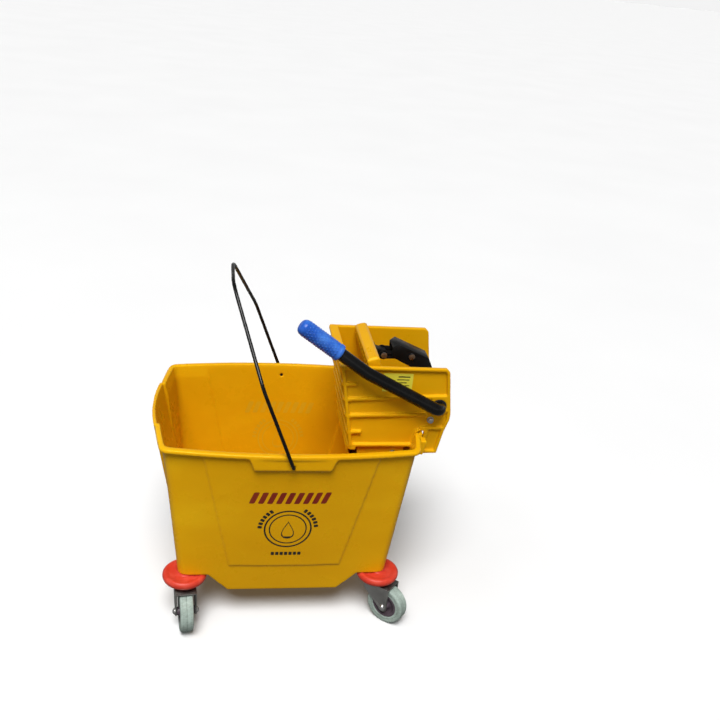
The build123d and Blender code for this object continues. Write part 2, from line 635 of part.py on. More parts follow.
def axle_cap():
    """Push-on cap that closes the far end of the axle and keeps it in its bush."""
    body = disc_y(AXLE_X, AXLE_Z, TUBE_R + 5, FLANGE_OUT + 0.5, 120)
    return body - disc_y(AXLE_X, AXLE_Z, TUBE_R, FLANGE_OUT, 116)


def clamp_bolts():
    """Two small bolts below the axle bosses, one through each side wall."""
    bolt = disc_y(CLAMP_X, CLAMP_Z, CLAMP_BOLT_R, PLATE_IN - 8, PLATE_OUT + 2.5)
    bolt += disc_y(CLAMP_X, CLAMP_Z, 7.0, PLATE_OUT + 1, PLATE_OUT + 2.5)
    bolt += hex_y(CLAMP_X, CLAMP_Z, 10, PLATE_OUT + 2.5, PLATE_OUT + 8)
    return both_sides(bolt)


def clamp_nuts():
    """Nuts of the two small bolts, inside the side walls."""
    nut = hex_y(CLAMP_X, CLAMP_Z, 10, PLATE_IN - 5, PLATE_IN)
    return both_sides(nut - disc_y(CLAMP_X, CLAMP_Z, CLAMP_BOLT_R, 0, 150))


def pivot_nuts():
    """Washer and hexagon nut at each end of the pivot rod."""
    nut = disc_y(PIVOT_X, PIVOT_Z, 8.5, PLATE_IN, PLATE_IN + 1.6)
    nut += hex_y(PIVOT_X, PIVOT_Z, 13, PLATE_IN + 1.6, PLATE_IN + 8.1)
    return both_sides(nut - disc_y(PIVOT_X, PIVOT_Z, PIN_R, 0, 150))


def side_label():
    """Thin rectangular sticker on the front side wall."""
    top, bottom = -14.0, -54.0
    return prism_xz([(88, bottom), (148, bottom), (148, top), (88, top)], -PLATE_OUT - 0.4, -PLATE_OUT)


def wringer_nodes():
    return {
        "wringer_frame": wringer_frame(),
        "drain_chute": drain_chute(),
        "side_label": side_label(),
        "bush_near": mirror(bush(), Plane.XZ),
        "bush_far": bush(),
        "clamp_bolts": clamp_bolts(),
        "clamp_nuts": clamp_nuts(),
        "pivot_rod": disc_y(PIVOT_X, PIVOT_Z, PIN_R, -PLATE_IN - 11, PLATE_IN + 11),
        "pivot_nuts": pivot_nuts(),
        "press_plate": press_plate(),
        "press_bracket": press_bracket(),
        "link_pin": capped_pin(LINK_PIN_X, LINK_PIN_Z, 16, 6.5),
        "link_arms": link_arms(),
        "handle_tube": handle_tube(),
        "hand_grip": hand_grip(),
        "axle_cap": axle_cap(),
        "crank": crank(),
        "crank_bolt": crank_bolt(),
        "crank_pin": capped_pin(CRANK_PIN_X, CRANK_PIN_Z, 20, 6.5),
    }


def all_nodes():
    nodes = {"bucket_tank": bucket_tank(), "bail": bail()}
    nodes.update(casters())
    for name, shape in wringer_nodes().items():
        nodes[name] = Pos(WRINGER_X, 0, WRINGER_Z) * shape
    return nodes


HOOK_END_X = WRINGER_X + 235.0
ORIGIN_X = (HOOK_END_X - SEAT_MIDDLE_X) / 2
os.makedirs("parts", exist_ok=True)
for node_name, node_shape in all_nodes().items():
    export_step(Pos(-ORIGIN_X, 0, 0) * node_shape, "parts/" + node_name + ".step")
print("origin x in bucket frame", ORIGIN_X)
print("axle", WRINGER_X + AXLE_X - ORIGIN_X, WRINGER_Z + AXLE_Z)
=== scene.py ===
import json
from math import cos, pi, radians, sin

import bmesh
import bpy
from mathutils import Matrix, Vector
from mathutils.bvhtree import BVHTree


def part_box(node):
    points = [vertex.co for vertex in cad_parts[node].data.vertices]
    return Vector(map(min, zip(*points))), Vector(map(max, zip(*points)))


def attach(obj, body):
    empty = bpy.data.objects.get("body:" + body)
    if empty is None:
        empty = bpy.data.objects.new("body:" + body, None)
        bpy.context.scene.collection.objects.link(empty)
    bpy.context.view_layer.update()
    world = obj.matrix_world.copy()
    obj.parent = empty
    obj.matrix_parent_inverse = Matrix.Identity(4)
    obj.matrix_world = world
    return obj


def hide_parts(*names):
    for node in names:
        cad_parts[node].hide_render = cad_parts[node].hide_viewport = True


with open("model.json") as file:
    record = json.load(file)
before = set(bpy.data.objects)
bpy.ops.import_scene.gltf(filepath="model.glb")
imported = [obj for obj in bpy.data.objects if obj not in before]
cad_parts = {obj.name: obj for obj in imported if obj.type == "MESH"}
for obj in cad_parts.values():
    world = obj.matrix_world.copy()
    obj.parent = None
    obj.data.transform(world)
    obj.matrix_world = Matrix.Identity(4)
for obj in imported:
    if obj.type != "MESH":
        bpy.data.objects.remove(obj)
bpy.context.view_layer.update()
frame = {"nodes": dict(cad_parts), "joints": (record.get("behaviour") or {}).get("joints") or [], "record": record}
NODES = frame["nodes"]
JOINTS = {joint["name"]: joint for joint in frame["joints"]}
CASTERS = ("fl", "fr", "rl", "rr")
MM = 0.001
UP = Vector((0, 0, 1))


# ---------------------------------------------------------------- materials
class Shader:
    """A small wrapper round one material's node tree."""

    def __init__(self, name, roughness, metallic=0.0, specular=0.5):
        self.material = bpy.data.materials.new(name)
        self.material.use_nodes = True
        self.tree = self.material.node_tree
        self.surface = self.tree.nodes["Principled BSDF"]
        self.surface.inputs["Metallic"].default_value = metallic
        self.surface.inputs["Roughness"].default_value = roughness
        self.surface.inputs["Specular IOR Level"].default_value = specular
        self.place = self.node("ShaderNodeTexCoord").outputs["Object"]

    def node(self, kind, **settings):
        made = self.tree.nodes.new(kind)
        for key, value in settings.items():
            setattr(made, key, value)
        return made

    def link(self, source, target):
        self.tree.links.new(source, target)

    def stretched(self, scale, turn=(0, 0, 0)):
        mapping = self.node("ShaderNodeMapping")
        mapping.inputs["Scale"].default_value = scale
        mapping.inputs["Rotation"].default_value = turn
        self.link(self.place, mapping.inputs["Vector"])
        return mapping.outputs["Vector"]

    def noise(self, scale, detail=3.0, roughness=0.55, vector=None):
        made = self.node("ShaderNodeTexNoise")
        made.inputs["Scale"].default_value = scale
        made.inputs["Detail"].default_value = detail
        made.inputs["Roughness"].default_value = roughness
        self.link(vector or self.place, made.inputs["Vector"])
        return made.outputs["Fac"]

    def ramp(self, source, stops):
        made = self.node("ShaderNodeValToRGB")
        elements = made.color_ramp.elements
        while len(elements) < len(stops):
            elements.new(0.5)
        for element, (place, colour) in zip(elements, stops):
            element.position = place
            element.color = (*colour, 1.0)
        self.link(source, made.inputs["Fac"])
        return made.outputs["Color"]

    def mix(self, factor, a, b, blend="MIX"):
        made = self.node("ShaderNodeMix", data_type="RGBA", blend_type=blend)
        if isinstance(factor, float):
            made.inputs["Factor"].default_value = factor
        else:
            self.link(factor, made.inputs["Factor"])
        for socket, value in ((made.inputs[6], a), (made.inputs[7], b)):
            if isinstance(value, tuple):
                socket.default_value = (*value, 1.0)
            else:
                self.link(value, socket)
        return made.outputs[2]

    def span(self, source, low, high, from_low=0.3, from_high=0.7):
        made = self.node("ShaderNodeMapRange")
        made.inputs["From Min"].default_value = from_low
        made.inputs["From Max"].default_value = from_high
        made.inputs["To Min"].default_value = low
        made.inputs["To Max"].default_value = high
        self.link(source, made.inputs["Value"])
        return made.outputs["Result"]

    def colour(self, source):
        self.link(source, self.surface.inputs["Base Color"])

    def rough(self, source):
        self.link(source, self.surface.inputs["Roughness"])

    def bump(self, source, strength, distance, before=None):
        made = self.node("ShaderNodeBump")
        made.inputs["Strength"].default_value = strength
        made.inputs["Distance"].default_value = distance
        self.link(source, made.inputs["Height"])
        if before is not None:
            self.link(before, made.inputs["Normal"])
        self.link(made.outputs["Normal"], self.surface.inputs["Normal"])
        return made.outputs["Normal"]

    def edges(self):
        """High where the surface is convex, at edges that hands and mops rub; on the moulded plastic it also marks
        where a painted edge highlight goes.
        """
        return self.node("ShaderNodeNewGeometry").outputs["Pointiness"]


def grey(value):
    return (value, value, value)


def moulded_plastic(name, base, deep, pale, roughness, scuffs):
    """Glossy moulded polypropylene: faint flow marks, paler edges that are partly rubbed wear and partly a painted
    highlight, fine scratches and a soft grain.
    """
    s = Shader(name, roughness, specular=0.42)
    s.surface.inputs["Specular Tint"].default_value = (1.0, 0.74, 0.16, 1.0)
    s.surface.inputs["Subsurface Weight"].default_value = 0.08
    s.surface.inputs["Subsurface Radius"].default_value = (0.006, 0.003, 0.0006)
    s.surface.inputs["Subsurface Scale"].default_value = 1.0
    flow = s.noise(3.2, 4.0, 0.5, s.stretched((1.0, 1.0, 2.2)))
    cloudy = s.ramp(flow, [(0.30, deep), (0.52, base), (0.75, pale)])
    speck = s.ramp(s.noise(900.0, 2.0), [(0.30, grey(0.90)), (0.62, grey(1.0))])
    grained = s.mix(0.35, cloudy, speck, "MULTIPLY")
    # Painted highlight and wear: convex edges are lightened towards the pale tone, partly as rubbed wear and
    # partly as a painted edge highlight.
    lightened = s.span(s.edges(), 0.0, 0.75, 0.52, 0.60)
    lightened_at_edges = s.mix(lightened, grained, pale)
    long_marks = s.noise(60.0, 6.0, 0.75, s.stretched((1.0, 6.0, 26.0), (0.3, 0.5, 0.2)))
    cross_marks = s.noise(55.0, 6.0, 0.75, s.stretched((24.0, 5.0, 1.0), (0.1, 0.7, 0.4)))
    marks = s.mix(0.5, long_marks, cross_marks)
    scuffed = s.ramp(marks, [(0.60, grey(0.0)), (0.74, grey(1.0))])
    s.colour(s.mix(s.span(scuffed, 0.0, scuffs, 0.0, 1.0), lightened_at_edges, pale))
    s.rough(s.span(s.noise(14.0, 5.0, 0.6), roughness - 0.06, roughness + 0.12))
    soft = s.bump(s.noise(32.0, 2.0, 0.4), 0.10, 0.0015)
    fine = s.bump(s.noise(1500.0, 2.0), 0.06, 0.0003, soft)
    s.bump(marks, 0.08, 0.0004, fine)
    return s.material


def soft_rubber(name, base, dark, pale, roughness, grain):
    """Matt rubber with dusty patches, a fine grain and paler rubbed edges."""
    s = Shader(name, roughness, specular=0.35)
    dusty = s.ramp(s.noise(26.0, 6.0, 0.65), [(0.28, dark), (0.5, base), (0.74, pale)])
    lightened = s.span(s.edges(), 0.0, 0.5, 0.52, 0.62)
    s.colour(s.mix(lightened, dusty, pale))
    s.rough(s.span(s.noise(40.0, 4.0), roughness - 0.08, roughness + 0.12))
    coarse = s.bump(s.noise(120.0, 3.0), 0.12, 0.0006)
    s.bump(s.noise(grain, 3.0), 0.22, 0.0003, coarse)
    return s.material


def tread_rubber(name):
    """Grey-green non-marking tread, scuffed in cross bands, with floor dirt in its grain."""
    s = Shader(name, 0.62, specular=0.3)
    tones = [(0.3, (0.24, 0.30, 0.26)), (0.52, (0.36, 0.44, 0.39)), (0.72, (0.48, 0.57, 0.51))]
    body = s.ramp(s.noise(30.0, 5.0, 0.6), tones)
    grains = s.noise(140.0, 8.0, 0.8, s.stretched((1.0, 1.0, 3.0)))
    dirt = s.ramp(grains, [(0.36, (0.24, 0.23, 0.19)), (0.54, grey(1.0))])
    grimy = s.mix(0.55, body, dirt, "MULTIPLY")
    lightened_at_edges = s.span(s.edges(), 0.0, 0.6, 0.50, 0.58)
    s.colour(s.mix(lightened_at_edges, grimy, (0.52, 0.62, 0.56)))
    s.rough(s.span(s.noise(70.0, 4.0), 0.52, 0.80))
    rough_bump = s.bump(s.noise(260.0, 5.0, 0.7), 0.35, 0.0007)
    s.bump(s.noise(1400.0, 2.0), 0.25, 0.0003, rough_bump)
    return s.material


def plated_steel(name, base, dark, roughness, rust):
    """Zinc plate or bare steel: brushed streaks, spangle, darker stains and bright rubbed edges."""
    s = Shader(name, roughness, metallic=1.0)
    spangle = s.node("ShaderNodeTexVoronoi")
    spangle.inputs["Scale"].default_value = 260.0
    s.link(s.place, spangle.inputs["Vector"])
    flecks = s.ramp(spangle.outputs["Distance"], [(0.0, grey(0.78)), (0.7, grey(1.0))])
    stained = s.ramp(s.noise(45.0, 6.0, 0.7), [(0.32, dark), (0.62, base)])
    plated = s.mix(0.6, stained, flecks, "MULTIPLY")
    spots = s.ramp(s.noise(110.0, 5.0, 0.7), [(0.60, grey(0.0)), (0.70, grey(1.0))])
    rusty = s.mix(s.span(spots, 0.0, rust, 0.0, 1.0), plated, (0.14, 0.055, 0.02))
    lightened = s.span(s.edges(), 0.0, 0.7, 0.52, 0.60)
    s.colour(s.mix(lightened, rusty, (0.74, 0.73, 0.70)))
    s.rough(s.span(s.noise(90.0, 5.0, 0.7), roughness - 0.10, roughness + 0.18))
    brushed = s.bump(s.noise(300.0, 4.0, 0.6, s.stretched((1.0, 1.0, 14.0))), 0.12, 0.0003)
    s.bump(s.noise(700.0, 3.0), 0.10, 0.0002, brushed)
    return s.material


def coated_metal(name, roughness, peel):
    """Black powder coat: orange peel, dust in the low spots, faint rubs and greyed edges."""
    s = Shader(name, roughness, specular=0.22)
    s.surface.inputs["Coat Weight"].default_value = 0.10
    s.surface.inputs["Coat Roughness"].default_value = 0.10
    tones = [(0.35, grey(0.003)), (0.62, grey(0.006)), (0.8, (0.016, 0.016, 0.015))]
    dusty = s.ramp(s.noise(38.0, 6.0, 0.7), tones)
    lightened = s.span(s.edges(), 0.0, 0.3, 0.54, 0.66)
    s.colour(s.mix(lightened, dusty, (0.055, 0.055, 0.06)))
    s.rough(s.span(s.noise(60.0, 5.0, 0.6), roughness - 0.06, roughness + 0.14))
    pitted = s.bump(s.noise(520.0, 2.0, 0.4), peel, 0.0003)
    s.bump(s.noise(70.0, 5.0, 0.7), 0.05, 0.0004, pitted)
    return s.material


def ink_and_print_shadow(name, tone, thin):
    """Screen-printed ink, slightly uneven, with the plastic showing at tiny pinholes; the same finish also serves
    the painted shade of the print seen through the wall.
    """
    s = Shader(name, 0.42, specular=0.4)
    holes = s.ramp(s.noise(620.0, 4.0, 0.7), [(0.30, thin), (0.42, tone)])
    s.colour(s.mix(0.35, holes, s.ramp(s.noise(40.0, 4.0), [(0.3, tone), (0.7, thin)])))
    s.rough(s.span(s.noise(120.0, 3.0), 0.34, 0.52))
    s.bump(s.noise(900.0, 2.0), 0.10, 0.0002)
    return s.material


# Tones are linear red, green and blue: each material's own, its darker and its paler one.
TANK_YELLOW = (0.80, 0.405, 0.003)
TANK_DEEP = (0.76, 0.372, 0.002)
TANK_PALE = (0.88, 0.50, 0.006)


def plastics():
    yellows = (TANK_YELLOW, TANK_DEEP, TANK_PALE)
    hub = ((0.085, 0.060, 0.075), (0.045, 0.032, 0.040), (0.18, 0.14, 0.17))
    bumper = ((0.60, 0.042, 0.020), (0.50, 0.028, 0.012), (0.70, 0.09, 0.055))
    grip = ((0.018, 0.105, 0.52), (0.012, 0.078, 0.42), (0.07, 0.24, 0.74))
    bush = (grey(0.022), grey(0.014), grey(0.05))
    return {
        "tank_plastic": moulded_plastic("tank_plastic", *yellows, 0.27, 0.12),
        "wringer_plastic": moulded_plastic("wringer_plastic", *yellows, 0.31, 0.20),
        "hub_plastic": soft_rubber("hub_plastic", *hub, 0.38, 700.0),
        "bumper_rubber": soft_rubber("bumper_rubber", *bumper, 0.36, 900.0),
        "grip_blue": soft_rubber("grip_blue", *grip, 0.30, 1100.0),
        "bush_plastic": soft_rubber("bush_plastic", *bush, 0.45, 800.0),
        "tyre_rubber": tread_rubber("tyre_rubber"),
    }


def metals():
    caster = ((0.26, 0.26, 0.24), (0.15, 0.15, 0.14))
    axle = ((0.62, 0.61, 0.60), (0.40, 0.40, 0.40))
    bolt = ((0.55, 0.55, 0.55), (0.32, 0.33, 0.36))
    return {
        "caster_steel": plated_steel("caster_steel", *caster, 0.42, 0.40),
        "axle_steel": plated_steel("axle_steel", *axle, 0.26, 0.06),
        "bolt_steel": plated_steel("bolt_steel", *bolt, 0.28, 0.10),
        "wire_black": coated_metal("wire_black", 0.18, 0.05),
        "tube_black": coated_metal("tube_black", 0.20, 0.05),
        "linkage_black": coated_metal("linkage_black", 0.38, 0.16),
    }


def inks():
    return {
        "label_film": ink_and_print_shadow("label_film", (0.80, 0.72, 0.06), (0.74, 0.62, 0.04)),
        "red_ink": ink_and_print_shadow("red_ink", (0.20, 0.010, 0.004), (0.34, 0.06, 0.006)),
        "black_ink": ink_and_print_shadow("black_ink", grey(0.012), (0.07, 0.045, 0.01)),
        # Painted shade: a slightly darker yellow for the print's shadow seen through the tank wall from inside.
        "print_shadow": ink_and_print_shadow("print_shadow", (0.70, 0.385, 0.007), (0.78, 0.44, 0.008)),
    }


MATERIALS = {**plastics(), **metals(), **inks()}
SLOT = {part["node"]: part["material_slot"] for part in frame["record"]["subparts"]}
BODY = {node: body for body, nodes in frame["record"]["behaviour"]["bodies"].items() for node in nodes}


# ---------------------------------------------------------------- piece helpers
def new_piece(name, mesh, body, slot, material=None, smooth=True):
    """A finished object from a mesh, riding on a body."""
    made = bpy.data.objects.new(name, mesh)
    bpy.context.scene.collection.objects.link(made)
    mesh.materials.clear()
    mesh.materials.append(MATERIALS[material or slot])
    mesh.polygons.foreach_set("use_smooth", [smooth] * len(mesh.polygons))
    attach(made, body)
    return made


def baked(source_mesh, modifiers):
    """A new mesh: the source with modifiers applied. Each modifier is a kind and its settings."""
    work = bpy.data.objects.new("work", source_mesh)
    bpy.context.scene.collection.objects.link(work)
    for kind, settings in modifiers:
        modifier = work.modifiers.new(kind, kind)
        for key, value in settings.items():
            setattr(modifier, key, value)
    graph = bpy.context.evaluated_depsgraph_get()
    mesh = bpy.data.meshes.new_from_object(work.evaluated_get(graph))
    bpy.data.objects.remove(work)
    return mesh


def points_and_faces(mesh):
    points = [vertex.co.copy() for vertex in mesh.vertices]
    return points, [], [tuple(face.vertices) for face in mesh.polygons]


def plain_copy(node):
    """The node's triangles as a mesh with nothing carried over but its vertices and faces."""
    source = NODES[node].data
    mesh = bpy.data.meshes.new(node + "_copy")
    mesh.from_pydata(*points_and_faces(source))
    work = bmesh.new()
    work.from_mesh(mesh)
    bmesh.ops.remove_doubles(work, verts=work.verts, dist=2e-6)
    bmesh.ops.recalc_face_normals(work, faces=work.faces)
    work.to_mesh(mesh)
    work.free()
    return mesh


def softened(mesh, voxel, passes):
    """The mesh remeshed in small cells and smoothed, which rounds its edges."""
    remesh = {"mode": "VOXEL", "voxel_size": voxel, "use_smooth_shade": True}
    return baked(mesh, [("REMESH", remesh), ("SMOOTH", {"factor": 0.5, "iterations": passes})])


def moulded(node, voxel, passes):
    """Stands for a moulded node: same walls, with the rounded edges that a moulding has."""
    mesh = softened(plain_copy(node), voxel, passes)
    piece = new_piece(node + "_moulding", mesh, BODY[node], SLOT[node])
    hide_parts(node)
    return piece


def eased(node, width):
    """Stands for a small hard node, with its sharp edges broken."""
    bevel = {"width": width, "segments": 2, "limit_method": "ANGLE", "angle_limit": radians(32)}
    mesh = baked(plain_copy(node), [("BEVEL", bevel)])
    piece = new_piece(node + "_eased", mesh, BODY[node], SLOT[node])
    shade_by_angle(mesh, 40)
    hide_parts(node)


def shade_by_angle(mesh, angle):
    """Marks edges sharper than the angle, in degrees, so that smooth shading stops at them."""
    work = bmesh.new()
    work.from_mesh(mesh)
    limit = radians(angle)
    for edge in work.edges:
        if len(edge.link_faces) == 2 and edge.calc_face_angle(0.0) > limit:
            edge.smooth = False
    work.to_mesh(mesh)
    work.free()


# ---------------------------------------------------------------- turned pieces
def turned_mesh(name, profile, centre, axis, segments=96):
    """A closed profile of (radius, distance along the axis) in millimetres, spun about the axis."""
    axis = Vector(axis).normalized()
    side = axis.orthogonal().normalized()
    other = axis.cross(side)
    points = []
    for step in range(segments):
        angle = 2 * pi * step / segments
        outward = side * cos(angle) + other * sin(angle)
        points += [centre + outward * radius * MM + axis * along * MM for radius, along in profile]
    count = len(profile)
    faces = []
    for step in range(segments):
        here, there = step * count, (step + 1) % segments * count
        for i in range(count):
            j = (i + 1) % count
            faces.append((here + i, here + j, there + j, there + i))
    mesh = bpy.data.meshes.new(name)
    mesh.from_pydata(points, [], faces)
    work = bmesh.new()
    work.from_mesh(mesh)
    bmesh.ops.remove_doubles(work, verts=work.verts, dist=1e-6)
    bmesh.ops.recalc_face_normals(work, faces=work.faces)
    work.to_mesh(mesh)
    work.free()
    return mesh


def mirrored(half):
    """A profile of one half and its mirror image, from the positive side round to the negative."""
    return half + [(radius, -along) for radius, along in reversed(half) if along > 0]


def turned(name, profile, centre, axis, node, angle=35):
    """A turned piece that stands for a round node."""
    mesh = turned_mesh(name, profile, centre, axis)
    piece = new_piece(name, mesh, BODY[node], SLOT[node])
    shade_by_angle(mesh, angle)
    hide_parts(node)


# ---------------------------------------------------------------- casters
# Sections of turned pieces, as (radius, distance along the axis) in millimetres. The distance is from
# mid width on the tyre and the hub, from the underside on the bumper, and from its seat on the axle head.
TYRE_HALF = [(28.0, 12.3), (28.6, 13.0), (30.0, 13.4), (32.5, 13.45), (33.0, 13.15), (33.8, 13.1)]
TYRE_HALF += [(34.4, 13.45), (38.6, 13.4), (40.4, 13.0), (41.7, 12.1), (42.5, 10.8), (42.9, 9.4)]
TYRE_HALF += [(42.95, 8.6), (42.55, 8.3), (42.95, 8.0), (43.0, 5.0), (43.0, 1.2), (42.9, 0.8)]
TYRE_HALF += [(42.2, 0.5), (42.0, 0.0)]
HUB_HALF = [(4.2, 17.4), (4.9, 18.1), (7.6, 18.1), (8.5, 17.3), (8.9, 15.2), (9.7, 10.4), (10.5, 7.4)]
HUB_HALF += [(11.8, 5.4), (13.8, 4.6), (17.8, 4.5), (19.6, 4.9), (21.0, 6.2), (21.9, 8.6)]
HUB_HALF += [(22.6, 11.2), (23.3, 12.2), (24.4, 12.7), (26.9, 12.7), (27.8, 12.2), (28.0, 11.4)]
BUMPER = [(6.0, 0.0), (35.5, 0.0), (38.6, 0.4), (41.2, 1.6), (43.4, 3.8), (44.6, 6.6), (45.0, 9.4)]
BUMPER += [(44.7, 12.0), (43.6, 14.4), (41.9, 16.2), (39.8, 17.3), (37.6, 17.5), (35.6, 16.9)]
BUMPER += [(33.2, 15.8), (30.4, 15.1), (26.0, 14.9), (19.0, 14.9), (16.4, 15.2), (14.9, 16.2)]
BUMPER += [(14.2, 17.8), (6.0, 17.9)]
AXLE_HEAD = [(0.0, 5.3), (1.6, 5.2), (3.1, 4.7), (4.6, 3.8), (5.8, 2.6), (6.5, 1.5), (7.3, 1.2)]
AXLE_HEAD += [(7.5, 0.8), (7.4, 0.0)]
AXLE_HEAD_SEAT, AXLE_RADIUS = 21.5, 3.9


def caster_pieces(corner):
    """Tread, hub, bumper disc and riveted axle, turned on the axes that the CAD joints give."""
    spin = JOINTS["wheel_" + corner + "_spin"]
    centre, axis = Vector(spin["pos_m"]), Vector(spin["axis"])
    turned("tread_" + corner, mirrored(TYRE_HALF), centre, axis, "tyre_" + corner)
    turned("wheel_" + corner, mirrored(HUB_HALF), centre, axis, "hub_" + corner)
    low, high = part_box("bumper_" + corner)
    foot = Vector(((low.x + high.x) / 2, (low.y + high.y) / 2, low.z))
    turned("bumper_disc_" + corner, BUMPER, foot, UP, "bumper_" + corner)
    head = [(radius, AXLE_HEAD_SEAT + along) for radius, along in AXLE_HEAD]
    head.append((AXLE_RADIUS, AXLE_HEAD_SEAT))
    turned("rivet_" + corner, mirrored(head), centre, axis, "axle_" + corner)


# ---------------------------------------------------------------- grip
# Raised dots: how many, how far apart along the grip, where the first ring is from the grip's end, at
# which radius their feet are, and their own radius and height, in millimetres.
DOT_RINGS, DOTS_PER_RING, DOT_PITCH = 13, 16, 5.7
FIRST_DOT, DOT_FOOT = -73.0, 16.1
DOT_RADIUS, DOT_RISE = 1.55, 1.0


def grip_pieces():
    """Vinyl grip with a rolled collar, a rounded end and staggered rows of raised dots."""
    mount = next(m for m in frame["record"]["mounts"] if m["name"] == "grip")
    axis = Vector(mount["axis"])
    end = Vector(mount["pos_m"]) + axis * (mount["dims"]["length_mm"] / 2 - 1) * MM
    profile = [(12.8, -85.8), (15.8, -86.0), (16.9, -85.2), (17.4, -83.6), (17.4, -80.6), (16.9, -79.0)]
    profile += [(16.2, -77.8), (16.2, -60.0), (16.2, -40.0), (16.2, -20.0), (16.2, -1.0), (15.9, 1.6)]
    profile += [(15.0, 4.4), (13.4, 6.9), (11.0, 8.8), (8.0, 9.9), (4.0, 10.4), (0.0, 10.45)]
    profile += [(0.0, 1.0), (12.8, 1.0)]
    turned("grip_sleeve", profile, end, axis, "hand_grip", 50)
    grip_dots(end, axis)


def grip_dots(end, axis):
    side = axis.orthogonal().normalized()
    other = axis.cross(side)
    work = bmesh.new()
    for ring in range(DOT_RINGS):
        for spoke in range(DOTS_PER_RING):
            angle = 2 * pi * (spoke + 0.5 * (ring % 2)) / DOTS_PER_RING
            outward = side * cos(angle) + other * sin(angle)
            place = end + axis * (FIRST_DOT + ring * DOT_PITCH) * MM + outward * DOT_FOOT * MM
            add_dot(work, place, outward, DOT_RADIUS * MM, DOT_RISE * MM)
    mesh = bpy.data.meshes.new("grip_dots")
    work.to_mesh(mesh)
    work.free()
    new_piece("grip_dots", mesh, "handle", "grip_blue")


def add_dot(work, place, outward, radius, rise):
    """A small dome standing on a surface."""
    side = outward.orthogonal().normalized()
    other = outward.cross(side)
    spokes = [side * cos(k * pi / 5) + other * sin(k * pi / 5) for k in range(10)]
    rings = []
    for share in (0.0, 0.45, 0.8):
        reach, lift = radius * cos(share * pi / 2), rise * sin(share * pi / 2)
        rings.append([work.verts.new(place + spoke * reach + outward * lift) for spoke in spokes])
    for lower, upper in zip(rings[:-1], rings[1:]):
        for k in range(10):
            work.faces.new((lower[k], lower[(k + 1) % 10], upper[(k + 1) % 10], upper[k]))
    top = work.verts.new(place + outward * rise)
    for k in range(10):
        work.faces.new((rings[-1][k], rings[-1][(k + 1) % 10], top))


# ---------------------------------------------------------------- chute lip
# The lip's section in x and z, in millimetres from the axis of the press plate's pivot rod.
LIP_SECTION = [(-71, 12), (-89, 12), (-94, 9), (-96, 4), (-95, -3), (-90, -14), (-52, -114)]
LIP_SECTION += [(-48, -112), (-86, -12), (-91, -2), (-91, 5), (-87, 8), (-71, 8)]
LIP_HALF_WIDTH = 80.0


def chute_lip():
    """A thin curved lip down the front of the chute, closed against the chute's own front wall."""
    pivot = Vector(JOINTS["plate_swing"]["pos_m"])
    verts, faces, count = [], [], len(LIP_SECTION)
    for y in (-LIP_HALF_WIDTH, LIP_HALF_WIDTH):
        verts += [pivot + Vector((x, y, z)) * MM for x, z in LIP_SECTION]
    for i in range(count):
        j = (i + 1) % count
        faces.append((i, j, j + count, i + count))
    faces += [tuple(reversed(range(count))), tuple(range(count, 2 * count))]
    mesh = bpy.data.meshes.new("chute_lip")
    mesh.from_pydata(verts, [], faces)
    mesh = softened(mesh, 1.0 * MM, 10)
    new_piece("chute_lip", mesh, "wringer", "wringer_plastic", smooth=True)


# ---------------------------------------------------------------- printed marks
# Heights above the floor and sizes of the marks on the front and the rear, in millimetres.
STRIPES, STRIPE_PITCH, STRIPE_WIDE, STRIPE_SLANT = 9, 17.6, 11.0, 5.0
STRIPE_LOW, STRIPE_HIGH = 310.0, 338.0
EMBLEM_Z, BLOCK_RING, BLOCK_ROW_Z = 245.0, 56.5, 180.0
INK_LIFT = 0.22 * MM


def surface_of(mesh):
    """What a ray can be cast against."""
    points, _, faces = points_and_faces(mesh)
    return BVHTree.FromPolygons(points, faces)


def block_outline(x0, z0, x1, z1, corner):
    """A rounded rectangle as points in x and z, in millimetres."""
    points = []
    centres = [(x1 - corner, z1 - corner, 0), (x0 + corner, z1 - corner, 90)]
    centres += [(x0 + corner, z0 + corner, 180), (x1 - corner, z0 + corner, 270)]
    for x, z, start in centres:
        for step in range(5):
            angle = radians(start + step * 22.5)
            points.append((x + corner * cos(angle), z + corner * sin(angle)))
    return points


def turned_block(x, z, wide, tall, angle):
    """A rounded block about (x, z), turned by an angle."""
    outline = block_outline(-wide / 2, -tall / 2, wide / 2, tall / 2, min(wide, tall) * 0.22)
    c, s = cos(radians(angle)), sin(radians(angle))
    return [(x + a * c - b * s, z + a * s + b * c) for a, b in outline]


def ring_faces(x, z, outer, inner, steps=72):
    """A flat ring as quads of (x, z) points."""
    faces = []
    for step in range(steps):
        a, b = 2 * pi * step / steps, 2 * pi * (step + 1) / steps
        corners = [(outer, a), (outer, b), (inner, b), (inner, a)]
        faces.append([(x + r * cos(t), z + r * sin(t)) for r, t in corners])
    return faces


def drop_faces(x, z, size, thick, steps=48):
    """A pointed drop drawn as an outline."""
    def edge(t, scale):
        wide = sin(t) * (sin(t / 2) ** 1.6)
        return (x + size * scale * 0.78 * wide, z + size * scale * cos(t) * 0.95)
    inner = 1 - thick / size
    faces = []
    for step in range(steps):
        a, b = 2 * pi * step / steps, 2 * pi * (step + 1) / steps
        faces.append([edge(a, 1.0), edge(b, 1.0), edge(b, inner), edge(a, inner)])
    return faces


def wall_sheet_piece(name, faces, surface, start_y, direction, ink):
    """Flat shapes in x and z, laid on the tank wall that a ray along y meets."""
    work = bmesh.new()
    for outline in faces:
        corners = []
        for x, z in outline:
            found = surface.ray_cast(Vector((x * MM, start_y, z * MM)), Vector((0, direction, 0)))
            corners.append(work.verts.new(found[0] - Vector((0, direction * INK_LIFT, 0))))
        work.faces.new(corners)
    bmesh.ops.remove_doubles(work, verts=work.verts, dist=1e-6)
    mesh = bpy.data.meshes.new(name)
    work.to_mesh(mesh)
    work.free()
    new_piece(name, mesh, "bucket", "tank_plastic", ink, False)


